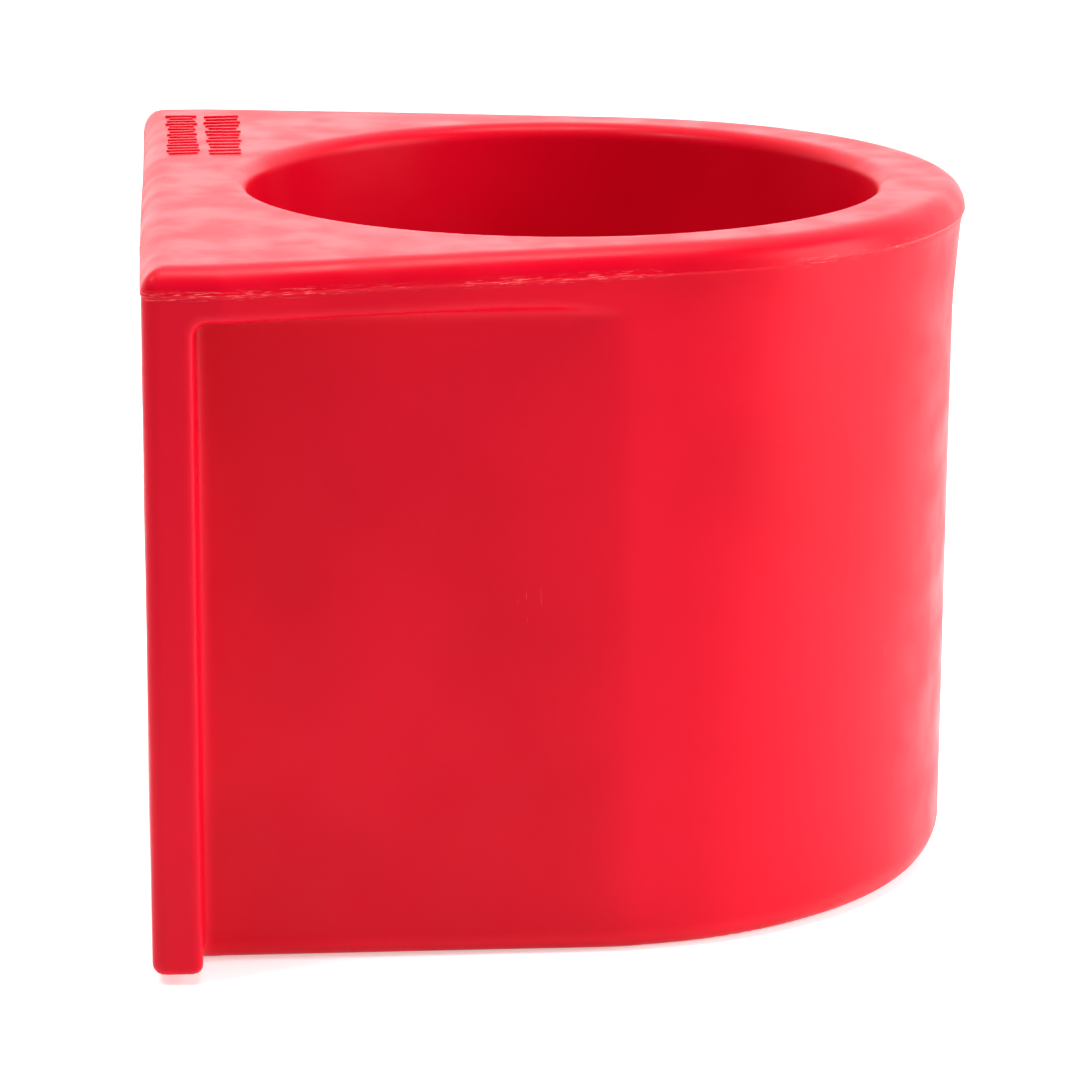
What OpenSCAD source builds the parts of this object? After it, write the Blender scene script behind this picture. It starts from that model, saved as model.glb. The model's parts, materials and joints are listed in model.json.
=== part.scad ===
// Insulated bucket holder for a wall or a stall partition.
// A double-walled D-shaped moulding: flat back with two tall screw flanges, a deck with
// a skirt below it, and a deep round pocket that a bucket drops into.
// Millimetres. Origin: middle of the base, on the surface that the holder stands on.
// +X points away from the wall, +Y along the wall, +Z up.

/* [Overall] */
// Depth from the wall to the front of the rim
body_d = 406; // [400:1:420]
// Width across the two flanges
body_w = 457; // [445:1:470]
// Height of the deck above the base
body_h = 338; // [310:1:360]
// Thickness of the moulded skin
skin_t = 5; // [4:0.5:6]

/* [Deck and rim] */
// Radius of the rim round the front of the deck
rim_r = 191; // [186:1:192]
// Height of the band that hangs below the deck as a skirt
band_h = 26; // [24:1:32]
// Length of the full-width strip of the deck next to the wall
strip_d = 36; // [30:1:45]

/* [Side wall] */
// Width across the two flat side walls
wall_w = 386; // [380:1:387]
// How far the front of the wall stands behind the rim
setback = 10; // [6:0.5:12]
// Height of the flare that carries the wall out to the rim
flare_h = 40; // [20:1:60]
// Radius of the rounded edge round the base
base_r = 9; // [5:0.5:9]

/* [Pocket] */
// Diameter of the pocket
pocket_d = 310; // [306:1:314]
// Depth of the pocket below the deck
pocket_depth = 295; // [240:5:300]
// Radius of the rounded lip at the pocket's mouth
lip_r = 6; // [4:0.5:8]
// Radius of the corner where the pocket's wall meets its floor
floor_r = 20; // [10:1:30]
// Diameter of the drain through the pocket's floor
drain_d = 25; // [16:1:32]

/* [Flanges] */
// Thickness of the flanges, from the wall forwards
flange_t = 24; // [20:1:28]
// Height of the flanges' lower ends above the base
flange_lift = 4; // [0:1:8]
// Diameter of the four screw holes
hole_d = 9; // [7:0.5:10]
// Height between the two screw holes of a flange
hole_pitch = 210; // [180:5:230]

/* [Foam plugs] */
// Diameter of the port that the foam is poured through
port_d = 38; // [30:1:44]
// Diameter of the two vent holes
vent_d = 12; // [8:1:16]
// Distance between the two vent holes
vent_pitch = 300; // [260:5:320]

/* [Hidden] */
$fn = 96;

// Clearance between the foam and the skin, and between a plug and its hole
gap = 0.15;
// Cuts run this far past the faces that they open
past = 1;

half_w = body_w / 2;
half_wall = wall_w / 2;
// Distances from here on are from the wall, so each node moves back by half the depth.
wall_to_origin = [-body_d / 2, 0, 0];
rim_x = body_d - rim_r;
wall_x = body_d - setback - half_wall;
band_z = body_h - band_h;
upright_h = band_z + band_h / 2;
// The flare ends this far inside the rim's outer face.
flare_step = 0.5;

// The rim is a little wider in front of the pocket than beside it.
pocket_r = pocket_d / 2;
pocket_x = rim_x - 7;
floor_z = body_h - pocket_depth;
drain_r = drain_d / 2;

// Corners seen from above: of the deck and the wall, and of the thinner flanges
corner_r = 10;
edge_r = 6;
edge_y = half_w - corner_r;
flange_roll = 5;

hole_y = (half_w + half_wall) / 2;
hole_z = body_h / 2 - 8;
hole_r = hole_d / 2;
hole_wall = 3.5;

port_z = body_h / 2;
vent_z = body_h - 70;
// A plug's head is flush with the back, in a recess that is wider than its stem.
head_t = 2;
head_rim = 4;
stem_reach = 5;
stem_wall = 2.5;
bead = 0.8;

// The side of the deck is tangent to the rim, and its outward normal points this far round.
side_angle = atan2(half_w, strip_d - rim_x) - acos(rim_r / norm([strip_d - rim_x, half_w]));
// Middle of the small corner where the full-width strip turns into the side
strip_x = rim_x + (rim_r - corner_r - sin(side_angle) * edge_y) / cos(side_angle);

// An outline is a ring of corner arcs: [middle x, middle y, radius, first angle, last angle].
deck_arcs = [
    [rim_x, 0, rim_r, -side_angle, side_angle],
    [strip_x, edge_y, corner_r, side_angle, 90],
    [corner_r, edge_y, corner_r, 90, 180],
    [corner_r, -edge_y, corner_r, 180, 270],
    [strip_x, -edge_y, corner_r, 270, 360 - side_angle]
];
wall_arcs = [
    [wall_x, 0, half_wall, -90, 0],
    [wall_x, 0, half_wall, 0, 90],
    [corner_r, half_wall - corner_r, corner_r, 90, 180],
    [corner_r, corner_r - half_wall, corner_r, 180, 270]
];
flange_arcs = [
    [flange_t - edge_r, half_w - edge_r, edge_r, 0, 90],
    [edge_r, half_w - edge_r, edge_r, 90, 180],
    [edge_r, edge_r - half_w, edge_r, 180, 270],
    [flange_t - edge_r, edge_r - half_w, edge_r, 270, 360]
];

function arc_point(arc, angle, inset) =
    [arc[0] + (arc[2] - inset) * cos(angle), arc[1] + (arc[2] - inset) * sin(angle)];

module outline(arcs, inset) {
    polygon([for (arc = arcs) each [arc_point(arc, arc[3], inset), arc_point(arc, arc[4], inset)]]);
    for (arc = arcs)
        translate([arc[0], arc[1]])
            circle(r = arc[2] - inset);
}

// A quarter of a disc on the positive x side of its middle, and below it
module quarter(r) {
    intersection() {
        circle(r = r);
        translate([0, -r])
            square(r);
    }
}

// The rounded lower edge of radius r that runs all the way round an outline. Arcs that
// follow on from each other, as the two halves of a front, have no straight run between them.
module rolled_base(arcs, r) {
    for (arc = arcs)
        translate([arc[0], arc[1], r])
            rotate([0, 0, arc[3]])
                rotate_extrude(angle = arc[4] - arc[3])
                    translate([arc[2] - r, 0])
                        quarter(r);
    for (k = [0:len(arcs) - 1]) {
        next = arcs[(k + 1) % len(arcs)];
        end = arc_point(next, next[3], r);
        run = end - arc_point(arcs[k], arcs[k][4], r);
        if (norm(run) > gap)
            translate([end.x, end.y, r])
                rotate([90, 0, atan2(run.y, run.x) - 90])
                    linear_extrude(norm(run))
                        quarter(r);
    }
}

// An upright piece that stands at height z and ends inside the deck
module upright(arcs, r, z) {
    translate([0, 0, z + r])
        linear_extrude(upright_h - z - r)
            outline(arcs, 0);
    translate([0, 0, z]) {
        linear_extrude(r)
            outline(arcs, r);
        rolled_base(arcs, r);
    }
}

// The deck and its skirt
module deck() {
    translate([0, 0, band_z])
        linear_extrude(band_h)
            outline(deck_arcs, 0);
}

// The front of the wall flares out to the rim.
module flare(inset) {
    translate([rim_x, 0, band_z - flare_h])
        cylinder(r1 = rim_r - setback - past - inset, r2 = rim_r - flare_step - inset, h = flare_h + inset);
}

// The holder's outer form
module form() {
    deck();
    upright(wall_arcs, base_r, 0);
    upright(flange_arcs, flange_roll, flange_lift);
    flare(0);
}

// The room in an upright piece, inset behind its faces, with square edges
module upright_room(arcs, z, inset) {
    translate([0, 0, z + inset])
        linear_extrude(upright_h - z - inset)
            outline(arcs, inset);
}

// The hollow that lies inset behind the faces of the form
module hollow(inset) {
    translate([0, 0, band_z + inset])
        linear_extrude(band_h - 2 * inset)
            outline(deck_arcs, inset);
    upright_room(wall_arcs, 0, inset);
    upright_room(flange_arcs, flange_lift, inset);
    flare(inset);
}

// The space inside the pocket, made larger by grow for what lies behind its skin
module pocket(grow = 0) {
    r = pocket_r + grow;
    corner = floor_r + grow;
    low = floor_z - grow;
    translate([pocket_x, 0, 0])
        rotate_extrude() {
            translate([0, low + corner])
                square([r, body_h + past - low - corner]);
            translate([0, low])
                square([r - corner, corner]);
            translate([r - corner, low + corner])
                quarter(corner);
        }
}

// What the rounded lip takes off the edge round the pocket's mouth
module lip_cut() {
    translate([pocket_x, 0, body_h - lip_r])
        rotate_extrude()
            difference() {
                translate([pocket_r - past, 0])
                    square(lip_r + past);
                translate([pocket_r + lip_r, 0])
                    circle(r = lip_r);
            }
}

module drain(r, low, high) {
    translate([pocket_x, 0, low])
        cylinder(r = r, h = high - low);
}

// A round bar along X at a place on the back, from distance near to distance far
module bar(y, z, r, near, far) {
    translate([near, y, z])
        rotate([0, 90, 0])
            cylinder(r = r, h = far - near);
}

module screw_bars(r, near, far) {
    for (side = [-1, 1], step = [-1, 1])
        bar(side * hole_y, hole_z + step * hole_pitch / 2, r, near, far);
}

// What a plug of stem radius r needs: its hole, its recess and the room for its bead
module plug_room(y, z, r, grow) {
    bar(y, z, r + grow, -past, skin_t + stem_reach + grow);
    bar(y, z, r + head_rim + grow, -past, head_t + grow);
    bar(y, z, r + bead + grow, skin_t, skin_t + stem_reach + grow);
}

module plug_rooms(grow = 0) {
    plug_room(0, port_z, port_d / 2, grow);
    for (side = [-1, 1])
        plug_room(side * vent_pitch / 2, vent_z, vent_d / 2, grow);
}

// A push-in plug: a flat head, a hollow stem and a bead that snaps in behind the skin
module plug(y, z, r) {
    stem_r = r - gap;
    tip = skin_t + stem_reach - gap;
    translate([0, y, z])
        rotate([0, 90, 0])
            rotate_extrude()
                polygon([
                    [0, 0],
                    [stem_r + head_rim, 0],
                    [stem_r + head_rim, head_t],
                    [stem_r, head_t],
                    [stem_r, skin_t + gap],
                    [stem_r + bead, skin_t + gap + bead],
                    [stem_r - bead, tip],
                    [stem_r - stem_wall, tip],
                    [stem_r - stem_wall, head_t],
                    [0, head_t]
                ]);
}

// The moulding: one closed skin round the foam, with the pocket, the drain and the screw
// tunnels joined through it, and the port and vents open at the back
module shell() {
    color("crimson")
        difference() {
            union() {
                difference() {
                    form();
                    hollow(skin_t);
                }
                intersection() {
                    form();
                    union() {
                        pocket(skin_t);
                        drain(drain_r + skin_t, 0, floor_z);
                        screw_bars(hole_r + hole_wall, 0, flange_t);
                    }
                }
            }
            pocket();
            lip_cut();
            drain(drain_r, -past, floor_z + past);
            screw_bars(hole_r, -past, flange_t + past);
            plug_rooms();
        }
}

// The insulation: poured foam that fills the hollow between the skins
module foam_core() {
    color("wheat")
        difference() {
            hollow(skin_t + gap);
            pocket(skin_t + gap);
            drain(drain_r + skin_t + gap, 0, floor_z);
            screw_bars(hole_r + hole_wall + gap, 0, flange_t);
            plug_rooms(gap);
        }
}

module fill_plug() {
    color("firebrick")
        plug(0, port_z, port_d / 2);
}

module vent_plugs() {
    color("firebrick")
        for (side = [-1, 1])
            plug(side * vent_pitch / 2, vent_z, vent_d / 2);
}

translate(wall_to_origin) shell();
translate(wall_to_origin) foam_core();
translate(wall_to_origin) fill_plug();
translate(wall_to_origin) vent_plugs();
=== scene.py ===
"""Looks of the insulated bucket holder: a red, rotationally moulded double-walled shell with
its foam and plugs, on a white studio floor. Forms are worked out in millimetres from the wall
plane, as the CAD source does, and every mesh is made in metres in the frame of the CAD."""
import json
import math

import bmesh
import bpy
import numpy as np
from mathutils import Matrix, Vector


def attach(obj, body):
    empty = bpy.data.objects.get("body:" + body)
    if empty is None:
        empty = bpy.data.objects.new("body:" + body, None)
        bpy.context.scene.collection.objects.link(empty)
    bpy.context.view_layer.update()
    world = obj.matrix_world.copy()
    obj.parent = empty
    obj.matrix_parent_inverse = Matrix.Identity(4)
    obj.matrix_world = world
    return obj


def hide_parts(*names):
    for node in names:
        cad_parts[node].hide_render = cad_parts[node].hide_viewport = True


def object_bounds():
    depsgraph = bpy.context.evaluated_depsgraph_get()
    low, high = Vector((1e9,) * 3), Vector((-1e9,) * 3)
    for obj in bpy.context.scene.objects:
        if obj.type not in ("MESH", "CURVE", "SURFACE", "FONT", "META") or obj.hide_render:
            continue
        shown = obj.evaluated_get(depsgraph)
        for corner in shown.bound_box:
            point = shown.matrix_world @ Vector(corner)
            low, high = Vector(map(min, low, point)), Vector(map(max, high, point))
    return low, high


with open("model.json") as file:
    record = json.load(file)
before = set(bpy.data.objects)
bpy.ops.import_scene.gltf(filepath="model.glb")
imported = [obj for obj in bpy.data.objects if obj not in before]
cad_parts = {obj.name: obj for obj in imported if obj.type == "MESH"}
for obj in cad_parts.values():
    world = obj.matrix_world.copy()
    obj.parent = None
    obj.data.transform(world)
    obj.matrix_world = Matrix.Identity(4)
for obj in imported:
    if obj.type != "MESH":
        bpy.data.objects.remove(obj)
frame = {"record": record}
CAD_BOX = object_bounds()
MOUNTS = {mount["name"]: mount for mount in frame["record"]["mounts"]}

# ---------------------------------------------------------------- sizes, in millimetres
MM = 0.001
BACK = CAD_BOX[0].x / MM
DEPTH = CAD_BOX[1].x / MM - BACK
HALF_W = CAD_BOX[1].y / MM
HEIGHT = CAD_BOX[1].z / MM

POCKET_R = MOUNTS["bucket_pocket"]["dims"]["r_mm"]
POCKET_X = MOUNTS["bucket_pocket"]["pos_m"][0] / MM - BACK
DRAIN_R = MOUNTS["drain"]["dims"]["r_mm"]
FLOOR_Z = MOUNTS["drain"]["dims"]["length_mm"]
SCREWS = MOUNTS["flange_screws"]["dims"]
SCREW_Y = SCREWS["spacing_x_mm"] / 2
SCREW_Z = MOUNTS["flange_screws"]["pos_m"][2] / MM
FLANGE_X = MOUNTS["flange_screws"]["pos_m"][0] / MM - BACK

SCREW_R = SCREWS["hole_r_mm"]
SCREW_STEP = SCREWS["spacing_y_mm"] / 2
SCREW_WALL = 3.5
SKIN = 5.0
PORT_Z = HEIGHT / 2
PORT_R = 19.0
VENT_Y = 150.0
VENT_Z = HEIGHT - 70
VENT_R = 6.0
HEAD_RIM = 4.0
HEAD_T = 2.0
RIM_R = 191.0
RIM_X = DEPTH - RIM_R
STRIP_D = 36.0
CORNER_R = 7.0
WALL_HALF = 193.0
SETBACK = 10.0
WALL_X = DEPTH - SETBACK - WALL_HALF
# The wall's front leans out, by LEAN_LOW at its foot and by LEAN_HIGH from LEAN_TOP upwards.
LEAN_LOW = 2.0
LEAN_HIGH = 4.8
LEAN_TOP = 270.0
# The side of the wall passes into its front between these distances from the back.
FRONT_FROM = 205.0
FRONT_TO = 262.0
DECK_ROLL = 12.0
BASE_ROLL = 9.0
FRONT_ROLL_MORE = 5.0
FLANGE_ROLL = 5.0
FLANGE_LIFT = 4.0
PARTING_Z = HEIGHT - 12.5
PARTING_STEP = 0.9
FLASH_RISE = 0.45
PULL = 3.6
SKIRT_Z = HEIGHT - 26.0
FLARE_H = 52.0
FLARE_SHARE = 0.80
FLARE_POWER = 1.35
RECESS_R = 6.0
FRAME_EDGE_R = 4.6
LIP_R = 7.5
FLOOR_R = 20.0

# The deck's side is tangent to the rim, where its outward normal points this far round.
SIDE_TURN = math.atan2(HALF_W, STRIP_D - RIM_X) - math.acos(RIM_R / math.hypot(STRIP_D - RIM_X, HALF_W))


# ---------------------------------------------------------------- camera
def make_camera():
    """The photograph's view: a long lens, a little above the deck, looking along the wall."""
    place = Vector((BACK - 0.8, -2624.1, 801.2)) * MM
    yaw, pitch, roll = 0.0754, 0.2454, 0.001
    ahead = Vector((math.sin(yaw) * math.cos(pitch), math.cos(yaw) * math.cos(pitch), -math.sin(pitch)))
    level = Vector((math.cos(yaw), -math.sin(yaw), 0))
    above = level.cross(ahead)
    right = level * math.cos(roll) + above * math.sin(roll)
    up = above * math.cos(roll) - level * math.sin(roll)
    data = bpy.data.cameras.new("camera")
    data.lens = 180.59
    data.shift_y = 0.021
    data.clip_end = 50
    camera = bpy.data.objects.new("camera", data)
    turn = Matrix((right, up, -ahead)).transposed().to_4x4()
    camera.matrix_world = Matrix.Translation(place) @ turn
    bpy.context.scene.collection.objects.link(camera)
    bpy.context.scene.camera = camera


# ---------------------------------------------------------------- distance fields
def ramp(value, low, high):
    """0 below low, 1 above high, and a smooth rise between them."""
    t = np.clip((value - low) / (high - low), 0, 1)
    return t * t * (3 - 2 * t)


def meet(a, b, r):
    """What is inside both a and b, with the edge between them rounded by r."""
    return np.minimum(np.maximum(a, b), -r) + np.hypot(np.maximum(a + r, 0), np.maximum(b + r, 0))


def to_segment(x, y, start, end):
    """Distance to the straight line between two points"""
    run = np.subtract(end, start)
    t = np.clip(((x - start[0]) * run[0] + (y - start[1]) * run[1]) / (run @ run), 0, 1)
    return np.hypot(x - start[0] - t * run[0], y - start[1] - t * run[1])


def deck_outline(x, y):
    """Signed distance to the deck's outline, seen from above, with its corners rounded."""
    y = np.abs(y)
    r = RIM_R - CORNER_R
    edge = HALF_W - CORNER_R
    normal = (math.cos(SIDE_TURN), math.sin(SIDE_TURN))
    tangent = (RIM_X + r * normal[0], r * normal[1])
    strip = (RIM_X + (r - normal[1] * edge) / normal[0], edge)
    back = (CORNER_R, edge)
    from_rim = np.hypot(x - RIM_X, y) - r
    past_side = (x - RIM_X) * normal[0] + y * normal[1] - r
    in_front = np.arctan2(y, x - RIM_X) < SIDE_TURN
    gap = np.minimum(to_segment(x, y, (CORNER_R, 0), back), to_segment(x, y, back, strip))
    gap = np.minimum(gap, to_segment(x, y, strip, tangent))
    gap = np.where(in_front, np.minimum(gap, np.abs(from_rim)), gap)
    inside = (x > CORNER_R) & (y < edge) & (past_side < 0) & (~in_front | (from_rim < 0))
    return np.where(inside, -gap, gap) - CORNER_R


def wall_outline(x, y, z):
    """Signed distance to the D-shaped wall below the deck, whose front leans out as it rises."""
    y = np.abs(y)
    middle = WALL_X + LEAN_LOW + (LEAN_HIGH - LEAN_LOW) * np.clip(z / LEAN_TOP, 0, 1)
    return np.where(x > middle, np.hypot(x - middle, y), y) - WALL_HALF


def warp(x, y, z):
    """The slow waves, under half a millimetre, that a moulding takes on as it cools"""
    return (
        0.16 * np.sin(x / 41 + 1.3) * np.sin(y / 57 + 0.4)
        + 0.14 * np.sin(z / 47 + 0.7) * np.cos(x / 63 - y / 71)
        + 0.10 * np.sin((x + y) / 29 + z / 37)
    )


def pulled(x, y, z):
    """Distances from the back before cooling pulled one of its top corners off the wall plane"""
    pull = PULL * ramp(y, -190.0, 200.0) * ramp(z, HEIGHT - 110, HEIGHT - 8)
    return x - pull * (1 - ramp(x, 15.0, 110.0))


def flared_wall(x, y, z, rim, ahead):
    """The wall, with its front flared out towards the rim in a cove that ends at the parting line"""
    wall = wall_outline(x, y, z)
    up = np.clip((z - PARTING_Z + FLARE_H) / FLARE_H, 0, 1)
    cove = FLARE_SHARE * up**FLARE_POWER
    return wall + (rim - wall) * cove * ahead


def recess_form(x, z, wall):
    """The room in front of a flange, under the skirt and outside the wall, with its corners rounded"""
    skirt_z = SKIRT_Z + (PARTING_Z - SKIRT_Z) * ramp(x, 215.0, FRONT_TO)
    sides = (FLANGE_X - x, z - skirt_z, -wall)
    nearest = np.maximum(np.maximum(sides[0], sides[1]), sides[2])
    inner = [np.maximum(value + RECESS_R, 0) for value in sides]
    return np.minimum(nearest, -RECESS_R) + np.sqrt(sum(value * value for value in inner))


def base_roll(x):
    """Radius of the rounded lower edge, which is smallest on the flanges and largest at the front"""
    roll = FLANGE_ROLL + (BASE_ROLL - FLANGE_ROLL) * ramp(x, FLANGE_X, FLANGE_X + 12)
    return roll + FRONT_ROLL_MORE * ramp(x, 250.0, 370.0)


def outer_form(x, y, z):
    """The outside of the moulding, without its pocket"""
    x = pulled(x, y, z)
    rim = deck_outline(x, y)
    ahead = ramp(x, FRONT_FROM, FRONT_TO)
    wall = flared_wall(x, y, z, rim, ahead)
    # The mould's lower half stands back a little behind its upper half, with flash between them.
    step = PARTING_STEP * (1 - ramp(z, PARTING_Z - 0.5, PARTING_Z + 0.5)) * (0.35 + 0.65 * ahead)
    flash = FLASH_RISE * np.exp(-(((z - PARTING_Z) / 0.6) ** 2))
    edge_r = np.clip(0.4 * (wall - rim), 0.2, FRAME_EDGE_R)
    body = meet(rim + step - flash, -recess_form(x, z, wall), edge_r)
    lift = FLANGE_LIFT * ramp(wall, -9.0, 3.0)
    body = meet(body, lift - z, base_roll(x))
    return meet(body, z - HEIGHT, DECK_ROLL)


def pocket_form(x, y, z):
    """The space inside the pocket"""
    away = np.hypot(x - POCKET_X, y) - POCKET_R
    return meet(away, FLOOR_Z - z, FLOOR_R)


def shell_form(x, y, z):
    """The moulding's outside with the pocket taken out of it, and its slow waves"""
    return meet(outer_form(x, y, z), -pocket_form(x, y, z), LIP_R) - warp(x, y, z) * 0.5


# ---------------------------------------------------------------- meshes from fields
def steps(*stretches):
    """Grid lines from (start, end, spacing) stretches that follow on from each other."""
    lines = [np.linspace(a, b, max(1, round((b - a) / size)), endpoint=False) for a, b, size in stretches]
    return np.append(np.concatenate(lines), stretches[-1][1])


def surface_net(field, xs, ys, zs):
    """Points and quads of the surface where field is zero, with one point in each cell that it crosses"""
    values = field(xs[:, None, None], ys[None, :, None], zs[None, None, :])
    inside = values < 0
    counts = sum(
        inside[i : i + len(xs) - 1, j : j + len(ys) - 1, k : k + len(zs) - 1].astype(np.int8)
        for i in (0, 1) for j in (0, 1) for k in (0, 1)
    )
    cells = np.argwhere((counts > 0) & (counts < 8))
    number = np.full(counts.shape, -1, np.int64)
    number[tuple(cells.T)] = np.arange(len(cells))
    return net_points(values, (xs, ys, zs), cells), net_quads(inside, number)


def net_points(values, lines, cells):
    """The mean place of the crossings on each cell's twelve edges"""
    total = np.zeros((len(cells), 3))
    crossings = np.zeros(len(cells))
    for axis in range(3):
        others = [a for a in range(3) if a != axis]
        for first in (0, 1):
            for second in (0, 1):
                start = cells.copy()
                start[:, others[0]] += first
                start[:, others[1]] += second
                crossed, spots = edge_crossings(values, lines, start, axis)
                total += np.where(crossed[:, None], spots, 0)
                crossings += crossed
    return total / crossings[:, None]


def edge_crossings(values, lines, start, axis):
    """Which of the grid edges that run from start along an axis are crossed, and where"""
    end = start.copy()
    end[:, axis] += 1
    low = values[tuple(start.T)]
    high = values[tuple(end.T)]
    crossed = (low < 0) != (high < 0)
    share = np.where(crossed, low / np.where(crossed, low - high, 1), 0)
    a = np.stack([lines[n][start[:, n]] for n in range(3)], 1)
    b = np.stack([lines[n][end[:, n]] for n in range(3)], 1)
    return crossed, a + (b - a) * share[:, None]


def net_quads(inside, number):
    """One quad round each crossed grid edge, wound so that it faces outwards"""
    quads = []
    for axis in range(3):
        one, two = (axis + 1) % 3, (axis + 2) % 3
        low = np.take(inside, range(inside.shape[axis] - 1), axis)
        high = np.take(inside, range(1, inside.shape[axis]), axis)
        for leaving in (True, False):
            edges = np.argwhere((low & ~high) if leaving else (~low & high))
            fits = (edges[:, one] > 0) & (edges[:, two] > 0)
            fits &= (edges[:, one] < number.shape[one]) & (edges[:, two] < number.shape[two])
            edges = edges[fits]
            corners = []
            for back_one, back_two in ((1, 1), (0, 1), (0, 0), (1, 0)):
                cell = edges.copy()
                cell[:, one] -= back_one
                cell[:, two] -= back_two
                corners.append(number[tuple(cell.T)])
            quad = np.stack(corners, 1)
            quads.append(quad if leaving else quad[:, ::-1])
    return np.concatenate(quads)


def settle(field, points, quads, rounds):
    """Evens out a net's points along the surface, and puts each one exactly on it."""
    ends = np.concatenate([quads[:, [0, 1]], quads[:, [1, 2]], quads[:, [2, 3]], quads[:, [3, 0]]])
    ends = np.concatenate([ends, ends[:, ::-1]])
    links = np.bincount(ends[:, 0], minlength=len(points)).astype(float)
    for turn in range(rounds):
        mean = np.stack(
            [np.bincount(ends[:, 0], points[ends[:, 1], n], len(points)) for n in range(3)], 1
        ) / links[:, None]
        points = points + (mean - points) * 0.5
        points = onto(field, points, 1 if turn < rounds - 1 else 4)
    return points


def onto(field, points, rounds):
    """Moves points onto the surface where field is zero, by Newton's method."""
    small = 0.05
    for _ in range(rounds):
        value = field(*points.T)
        slope = np.stack([
            (field(*(points + step).T) - field(*(points - step).T)) / (2 * small)
            for step in np.eye(3) * small
        ], 1)
        size = np.maximum((slope**2).sum(1), 0.25)
        points = points - slope * (value / size)[:, None]
    return points


def mesh_object(name, points, quads, material):
    """A smooth mesh object from points in millimetres from the wall"""
    mesh = bpy.data.meshes.new(name)
    mesh.vertices.add(len(points))
    mesh.vertices.foreach_set("co", ((points + [BACK, 0, 0]) * MM).astype(np.float32).ravel())
    mesh.loops.add(quads.size)
    mesh.loops.foreach_set("vertex_index", quads.astype(np.int32).ravel())
    mesh.polygons.add(len(quads))
    mesh.polygons.foreach_set("loop_start", np.arange(0, quads.size, 4, dtype=np.int32))
    mesh.polygons.foreach_set("use_smooth", np.ones(len(quads), bool))
    mesh.update(calc_edges=True)
    mesh.validate()
    mesh.materials.append(material)
    piece = bpy.data.objects.new(name, mesh)
    bpy.context.scene.collection.objects.link(piece)
    return piece


def hollow_form(x, y, z, inset):
    """The room for the foam, inset behind the faces, with the screw tunnels and drain left out"""
    body = np.maximum(outer_form(x, y, z) + inset, inset - pocket_form(x, y, z))
    tunnels = SCREW_R + SCREW_WALL + inset - SKIN
    for side in (-1, 1):
        for step in (-1, 1):
            away = np.hypot(y - side * SCREW_Y, z - SCREW_Z - step * SCREW_STEP)
            body = np.maximum(body, tunnels - away)
    return np.maximum(body, DRAIN_R + inset - np.hypot(x - POCKET_X, y))


def outer_grid():
    """Close grid lines where the form curves tightly, and wide ones where it runs straight"""
    xs = steps((-4, 40, 2.4), (40, 380, 3.0), (380, DEPTH + 4, 2.4))
    ys = steps((-HALF_W - 4, -180, 2.4), (-180, 180, 3.0), (180, HALF_W + 4, 2.4))
    zs = steps(
        (-4, 14, 2.0), (14, FLOOR_Z - 4, 6.0), (FLOOR_Z - 4, FLOOR_Z + 22, 3.2),
        (FLOOR_Z + 22, 250, 7.0), (250, PARTING_Z - 26, 3.0), (PARTING_Z - 26, PARTING_Z - 2.4, 1.9),
        (PARTING_Z - 2.4, PARTING_Z + 2.4, 0.6), (PARTING_Z + 2.4, HEIGHT + 4, 1.6),
    )
    return xs, ys, zs


def inner_grid():
    """Wider grid lines, for the faces that the skin hides"""
    xs = steps((-2, 28, 3.0), (28, DEPTH + 4, 6.0))
    ys = steps((-HALF_W - 4, -180, 3.5), (-180, 180, 6.0), (180, HALF_W + 4, 3.5))
    zs = steps((-2, 60, 4.0), (60, 290, 8.0), (290, HEIGHT + 4, 3.0))
    return xs, ys, zs


def net_of(field, grid, rounds):
    """A settled net of the surface where field is zero"""
    points, quads = surface_net(field, *grid)
    return settle(field, points, quads, rounds), quads


def rounded_bar(start, end, half_width, rise):
    """A raised bar with round ends on the deck, sunk a little into it"""
    rings = [(1.0, -0.8), (1.0, rise * 0.45), (0.88, rise * 0.82), (0.6, rise)]
    around = np.linspace(0, 2 * math.pi, 17)[:16]
    points = []
    for scale, height in rings:
        for turn in around:
            end_x, end_y = end if math.cos(turn) > 0 else start
            reach = half_width * scale
            points.append((end_x + reach * math.cos(turn), end_y + reach * math.sin(turn), HEIGHT + height))
    quads = [
        (16 * k + n, 16 * k + (n + 1) % 16, 16 * (k + 1) + (n + 1) % 16, 16 * (k + 1) + n)
        for k in range(3) for n in range(16)
    ]
    quads += [(48 + n, 49 + n, 62 - n, 63 - n) for n in range(7)]
    quads += [(15 - n, 14 - n, 1 + n, n) for n in range(7)]
    return np.array(points), np.array(quads)


def deck_ribs():
    """Two rows of plain raised ribs near the wall, where such a holder carries its marking"""
    spread = np.random.default_rng(4)
    nets = []
    for first, last, count, low, high in ((15.5, 30.5, 15, 78, 192), (35.5, 52.5, 13, 76, 190)):
        for y in np.linspace(low, high, count):
            lean = spread.uniform(-1.0, 1.0)
            trim = spread.uniform(0, 2.5)
            nets.append(rounded_bar((first + trim, y - lean), (last - trim, y + lean), 1.25, 0.9))
    return nets


def joined(nets):
    """Several nets as the points and quads of one"""
    starts = np.cumsum([0] + [len(points) for points, _ in nets])
    points = np.concatenate([points for points, _ in nets])
    return points, np.concatenate([quads + start for (_, quads), start in zip(nets, starts)])


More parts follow.
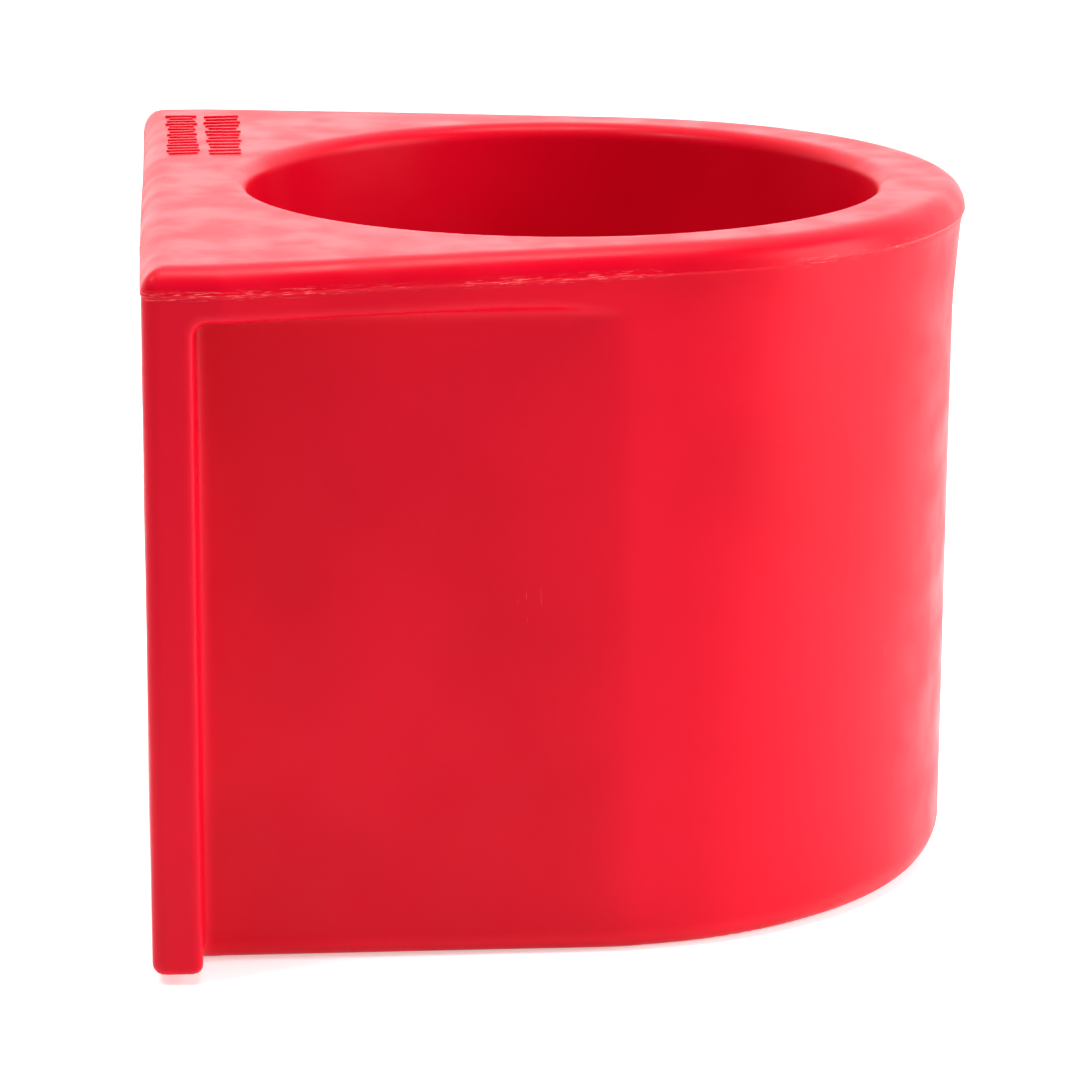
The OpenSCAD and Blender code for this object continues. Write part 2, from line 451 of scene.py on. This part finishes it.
def drill(piece, holes):
    """Cuts round holes, each given as a middle, a direction, a radius and a length in millimetres."""
    cutter_mesh = bpy.data.meshes.new("cutters")
    form = bmesh.new()
    for middle, direction, radius, length in holes:
        turn = Vector(direction).to_track_quat("Z", "Y").to_matrix().to_4x4()
        place = Matrix.Translation((Vector(middle) + Vector((BACK, 0, 0))) * MM)
        bmesh.ops.create_cone(
            form, cap_ends=True, segments=48, radius1=radius * MM, radius2=radius * MM,
            depth=length * MM, matrix=place @ turn,
        )
    form.to_mesh(cutter_mesh)
    form.free()
    cutters = bpy.data.objects.new("cutters", cutter_mesh)
    bpy.context.scene.collection.objects.link(cutters)
    cut = piece.modifiers.new("holes", "BOOLEAN")
    cut.operation = "DIFFERENCE"
    cut.object = cutters
    cut.solver = "MANIFOLD"
    whole = piece.evaluated_get(bpy.context.evaluated_depsgraph_get())
    mesh = bpy.data.meshes.new_from_object(whole)
    piece.modifiers.clear()
    piece.data = mesh
    bpy.data.objects.remove(cutters)
    mesh.shade_smooth()
    mesh.set_sharp_from_angle(angle=math.radians(38))


def make_shell(material):
    """The moulding: its outside and pocket, the hollow for the foam behind them, and its holes"""
    outside = net_of(shell_form, outer_grid(), 6)
    points, quads = net_of(lambda x, y, z: hollow_form(x, y, z, SKIN), inner_grid(), 3)
    shell = mesh_object("moulded_shell", *joined([outside, (points, quads[:, ::-1])]), material)
    across, down = (1, 0, 0), (0, 0, 1)
    screws = [
        ((FLANGE_X / 2, side * SCREW_Y, SCREW_Z + step * SCREW_STEP), across, SCREW_R, FLANGE_X + 6)
        for side in (-1, 1) for step in (-1, 1)
    ]
    drill(shell, screws + [((POCKET_X, 0, FLOOR_Z / 2), down, DRAIN_R, FLOOR_Z + 6)])
    ports = [(0, PORT_Z, PORT_R)] + [(side * VENT_Y, VENT_Z, VENT_R) for side in (-1, 1)]
    drill(shell, [((0, y, z), across, r, 2 * SKIN + 4) for y, z, r in ports])
    drill(shell, [((0, y, z), across, r + HEAD_RIM, 2 * HEAD_T) for y, z, r in ports])
    ribs = mesh_object("ribs", *joined(deck_ribs()), material)
    with bpy.context.temp_override(active_object=shell, selected_editable_objects=[shell, ribs]):
        bpy.ops.object.join()
    return shell


def make_foam(material):
    """The foam, a little smaller than the hollow that it fills"""
    points, quads = net_of(lambda x, y, z: hollow_form(x, y, z, SKIN + 0.3), inner_grid(), 3)
    return mesh_object("poured_foam", points, quads, material)


def push_plug(form, y, z, r):
    """Adds a push-in plug to a bmesh: a dished head with a soft edge, and a hollow barbed stem."""
    head, stem = r + HEAD_RIM - 0.2, r - 0.15
    profile = [
        (0.6, 0), (0.6, head * 0.62), (0.45, head * 0.68), (0.15, head * 0.72), (0.1, head - 0.9),
        (0.3, head - 0.3), (0.8, head), (1.9, head), (1.9, stem), (5.3, stem), (6.1, stem + 0.8),
        (9.7, stem - 0.8), (9.7, stem - 2.2), (2.6, stem - 2.2), (2.6, 0),
    ]
    around = np.linspace(0, 2 * math.pi, 65)[:64]
    rings = []
    for x, radius in profile:
        turns = around if radius else around[:1]
        spots = [(BACK + x, y + radius * math.cos(turn), z + radius * math.sin(turn)) for turn in turns]
        rings.append([form.verts.new(Vector(spot) * MM) for spot in spots])
    for near, far in zip(rings, rings[1:]):
        for n in range(64):
            m = (n + 1) % 64
            corners = [near[n % len(near)], near[m % len(near)], far[m % len(far)], far[n % len(far)]]
            form.faces.new(list(dict.fromkeys(corners)))


def make_plugs(name, places, material):
    """Plugs at the given (y, z, radius) places on the back, as one object"""
    mesh = bpy.data.meshes.new(name)
    form = bmesh.new()
    for y, z, r in places:
        push_plug(form, y, z, r)
    bmesh.ops.recalc_face_normals(form, faces=form.faces)
    form.to_mesh(mesh)
    form.free()
    mesh.shade_smooth()
    mesh.set_sharp_from_angle(angle=math.radians(40))
    mesh.materials.append(material)
    piece = bpy.data.objects.new(name, mesh)
    bpy.context.scene.collection.objects.link(piece)
    return piece


# ---------------------------------------------------------------- materials
def node_material(name):
    """A new material, with its nodes, its links and its shader"""
    material = bpy.data.materials.new(name)
    material.use_nodes = True
    nodes = material.node_tree.nodes
    return material, nodes, material.node_tree.links, nodes["Principled BSDF"]


def noise(nodes, links, vector, scale, detail=2.0):
    """A noise texture's value, on the given coordinates"""
    texture = nodes.new("ShaderNodeTexNoise")
    texture.inputs["Scale"].default_value = scale
    texture.inputs["Detail"].default_value = detail
    links.new(vector, texture.inputs["Vector"])
    return texture.outputs["Fac"]


def stretched(nodes, links, vector, scale):
    """The same coordinates, stretched by scale along each axis"""
    mapping = nodes.new("ShaderNodeMapping")
    mapping.inputs["Scale"].default_value = scale
    links.new(vector, mapping.inputs["Vector"])
    return mapping.outputs["Vector"]


def remap(nodes, links, value, low, high, new_low, new_high):
    """Carries a value from one range to another with a smooth ramp."""
    node = nodes.new("ShaderNodeMapRange")
    node.interpolation_type = "SMOOTHSTEP"
    node.inputs["From Min"].default_value = low
    node.inputs["From Max"].default_value = high
    node.inputs["To Min"].default_value = new_low
    node.inputs["To Max"].default_value = new_high
    links.new(value, node.inputs["Value"])
    return node.outputs["Result"]


def maths(nodes, links, operation, one, two):
    """One operation on two values, each a socket or a number"""
    node = nodes.new("ShaderNodeMath")
    node.operation = operation
    for socket, value in zip(node.inputs, (one, two)):
        if isinstance(value, (int, float)):
            socket.default_value = value
        else:
            links.new(value, socket)
    return node.outputs["Value"]


def blend(nodes, links, share, one, two):
    """A colour between one and two, each a socket or a plain colour"""
    node = nodes.new("ShaderNodeMix")
    node.data_type = "RGBA"
    links.new(share, node.inputs["Factor"])
    for socket, value in ((node.inputs[6], one), (node.inputs[7], two)):
        if isinstance(value, tuple):
            socket.default_value = value
        else:
            links.new(value, socket)
    return node.outputs[2]


def outside_pocket(nodes, links, split):
    """1 well outside the pocket and 0 in it, by the distance from the pocket's axis"""
    flat = nodes.new("ShaderNodeCombineXYZ")
    links.new(split.outputs["X"], flat.inputs["X"])
    links.new(split.outputs["Y"], flat.inputs["Y"])
    away = nodes.new("ShaderNodeVectorMath")
    away.operation = "DISTANCE"
    links.new(flat.outputs["Vector"], away.inputs[0])
    away.inputs[1].default_value = ((POCKET_X + BACK) * MM, 0, 0)
    near, far = (POCKET_R + 8) * MM, (POCKET_R + 12) * MM
    return remap(nodes, links, away.outputs["Value"], near, far, 0.0, 1.0)


def trimming_marks(nodes, links, place):
    """Pale knife marks in patches along the parting line, where the flash was trimmed"""
    split = nodes.new("ShaderNodeSeparateXYZ")
    links.new(place, split.inputs["Vector"])
    height = maths(nodes, links, "SUBTRACT", split.outputs["Z"], PARTING_Z * MM)
    distance = maths(nodes, links, "ABSOLUTE", height, 0.0)
    line = remap(nodes, links, distance, 0.0005, 0.0032, 1.0, 0.0)
    streaks = noise(nodes, links, stretched(nodes, links, place, (160, 160, 2600)), 1.0, 3.0)
    streaks = remap(nodes, links, streaks, 0.55, 0.68, 0.0, 0.85)
    patches = remap(nodes, links, noise(nodes, links, place, 14.0), 0.36, 0.56, 0.0, 1.0)
    trimmed = maths(nodes, links, "MULTIPLY", maths(nodes, links, "MULTIPLY", line, streaks), patches)
    return maths(nodes, links, "MULTIPLY", trimmed, outside_pocket(nodes, links, split))


def wear_marks(nodes, links, place):
    """The trimming marks, and a few fine upright scuffs elsewhere"""
    trimmed = trimming_marks(nodes, links, place)
    fine = noise(nodes, links, stretched(nodes, links, place, (900, 900, 60)), 1.0, 1.0)
    fine = remap(nodes, links, fine, 0.70, 0.76, 0.0, 0.5)
    rare = remap(nodes, links, noise(nodes, links, place, 22.0), 0.68, 0.80, 0.0, 1.0)
    return maths(nodes, links, "MAXIMUM", trimmed, maths(nodes, links, "MULTIPLY", fine, rare))


def red_plastic(name, colour, deep):
    """Moulded polyethylene: a strong red with a waxy sheen, shallow waves and trimming marks"""
    material, nodes, links, shader = node_material(name)
    place = nodes.new("ShaderNodeTexCoord").outputs["Object"]
    cloud = remap(nodes, links, noise(nodes, links, place, 7.0), 0.36, 0.64, 0.0, 1.0)
    tint = blend(nodes, links, cloud, deep, colour)
    marks = wear_marks(nodes, links, place)
    pale = (0.90, 0.16, 0.16, 1)
    links.new(blend(nodes, links, marks, tint, pale), shader.inputs["Base Color"])
    sheen = remap(nodes, links, noise(nodes, links, place, 38.0, 4.0), 0.3, 0.7, 0.30, 0.42)
    links.new(maths(nodes, links, "ADD", sheen, maths(nodes, links, "MULTIPLY", marks, 0.2)),
              shader.inputs["Roughness"])
    waves = maths(nodes, links, "MULTIPLY", noise(nodes, links, place, 34.0), 0.3)
    grain = maths(nodes, links, "MULTIPLY", noise(nodes, links, place, 900.0), 0.035)
    heights = maths(nodes, links, "ADD", maths(nodes, links, "ADD", waves, grain),
                    maths(nodes, links, "MULTIPLY", marks, 0.25))
    bump = nodes.new("ShaderNodeBump")
    bump.inputs["Strength"].default_value = 0.2
    bump.inputs["Distance"].default_value = 0.0006
    links.new(heights, bump.inputs["Height"])
    links.new(bump.outputs["Normal"], shader.inputs["Normal"])
    shader.inputs["IOR"].default_value = 1.21
    return material


def foam_material():
    """Cut foam: pale, matt and finely cellular"""
    material, nodes, links, shader = node_material("poured_foam")
    place = nodes.new("ShaderNodeTexCoord")
    cells = nodes.new("ShaderNodeTexVoronoi")
    cells.inputs["Scale"].default_value = 700
    links.new(place.outputs["Object"], cells.inputs["Vector"])
    tint = nodes.new("ShaderNodeValToRGB")
    tint.color_ramp.elements[0].color = (0.72, 0.58, 0.32, 1)
    tint.color_ramp.elements[1].color = (0.86, 0.74, 0.48, 1)
    links.new(cells.outputs["Distance"], tint.inputs["Fac"])
    links.new(tint.outputs["Color"], shader.inputs["Base Color"])
    bump = nodes.new("ShaderNodeBump")
    bump.inputs["Distance"].default_value = 0.001
    links.new(cells.outputs["Distance"], bump.inputs["Height"])
    links.new(bump.outputs["Normal"], shader.inputs["Normal"])
    shader.inputs["Roughness"].default_value = 0.9
    return material


# ---------------------------------------------------------------- stage
def make_floor():
    """A plain white floor that glows a little under and behind the holder, as a lit sweep does"""
    mesh = bpy.data.meshes.new("floor")
    half = 6.0
    # The base is slightly wavy, so the floor lies just under its lowest point.
    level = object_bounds()[0].z - 0.05 * MM
    corners = [(-half, -half, level), (half, -half, level), (half, half, level), (-half, half, level)]
    mesh.from_pydata(corners, [], [(0, 1, 2, 3)])
    material, nodes, links, shader = node_material("floor_white")
    shader.inputs["Base Color"].default_value = (0.9, 0.9, 0.9, 1)
    shader.inputs["Roughness"].default_value = 0.6
    shader.inputs["Emission Color"].default_value = (1, 1, 1, 1)
    split = nodes.new("ShaderNodeSeparateXYZ")
    links.new(nodes.new("ShaderNodeTexCoord").outputs["Object"], split.inputs["Vector"])
    glow = remap(nodes, links, split.outputs["Y"], -0.62, -0.34, 0.0, 0.42)
    links.new(glow, shader.inputs["Emission Strength"])
    mesh.materials.append(material)
    floor = bpy.data.objects.new("floor", mesh)
    bpy.context.scene.collection.objects.link(floor)


def area_light(name, place, target, size, power):
    """A soft rectangular light at a place, turned towards its target"""
    data = bpy.data.lights.new(name, "AREA")
    data.shape = "RECTANGLE"
    data.size, data.size_y = size
    data.energy = power
    light = bpy.data.objects.new(name, data)
    light.location = place
    light.rotation_euler = (Vector(target) - Vector(place)).to_track_quat("-Z", "Y").to_euler()
    bpy.context.scene.collection.objects.link(light)


def make_world():
    """A bright studio behind the holder, and a dimmer room on the photographer's side"""
    world = bpy.data.worlds.new("studio")
    world.use_nodes = True
    nodes, links = world.node_tree.nodes, world.node_tree.links
    backdrop = nodes["Background"]
    split = nodes.new("ShaderNodeSeparateXYZ")
    links.new(nodes.new("ShaderNodeTexCoord").outputs["Generated"], split.inputs["Vector"])
    links.new(remap(nodes, links, split.outputs["Y"], -0.3, 0.65, 0.1, 2.0), backdrop.inputs["Strength"])
    backdrop.inputs["Color"].default_value = (1, 1, 1, 1)
    bpy.context.scene.world = world


def make_light():
    """The room, a large key beside the front, and two smaller lights above"""
    make_world()
    middle = (0, 0, 0.17)
    area_light("key", (1.7, -0.55, 0.75), middle, (0.9, 1.3), 35)
    area_light("top", (0.12, -0.16, 1.9), middle, (0.7, 0.7), 26)
    area_light("left", (-0.9, -0.5, 1.5), middle, (0.3, 0.3), 9)


make_camera()
bpy.context.scene.view_settings.view_transform = "Standard"
red = red_plastic("red_polyethylene", (0.62, 0.001, 0.016, 1), (0.55, 0.0, 0.012, 1))
plug_red = red_plastic("plug_polyethylene", (0.50, 0.001, 0.012, 1), (0.44, 0.0, 0.010, 1))
vents = [(-VENT_Y, VENT_Z, VENT_R), (VENT_Y, VENT_Z, VENT_R)]
pieces = {
    "shell": make_shell(red),
    "foam_core": make_foam(foam_material()),
    "fill_plug": make_plugs("foam_fill_plug", [(0, PORT_Z, PORT_R)], plug_red),
    "vent_plugs": make_plugs("foam_vent_plugs", vents, plug_red),
}
for node, piece in pieces.items():
    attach(piece, "root")
    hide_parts(node)
make_floor()
make_light()
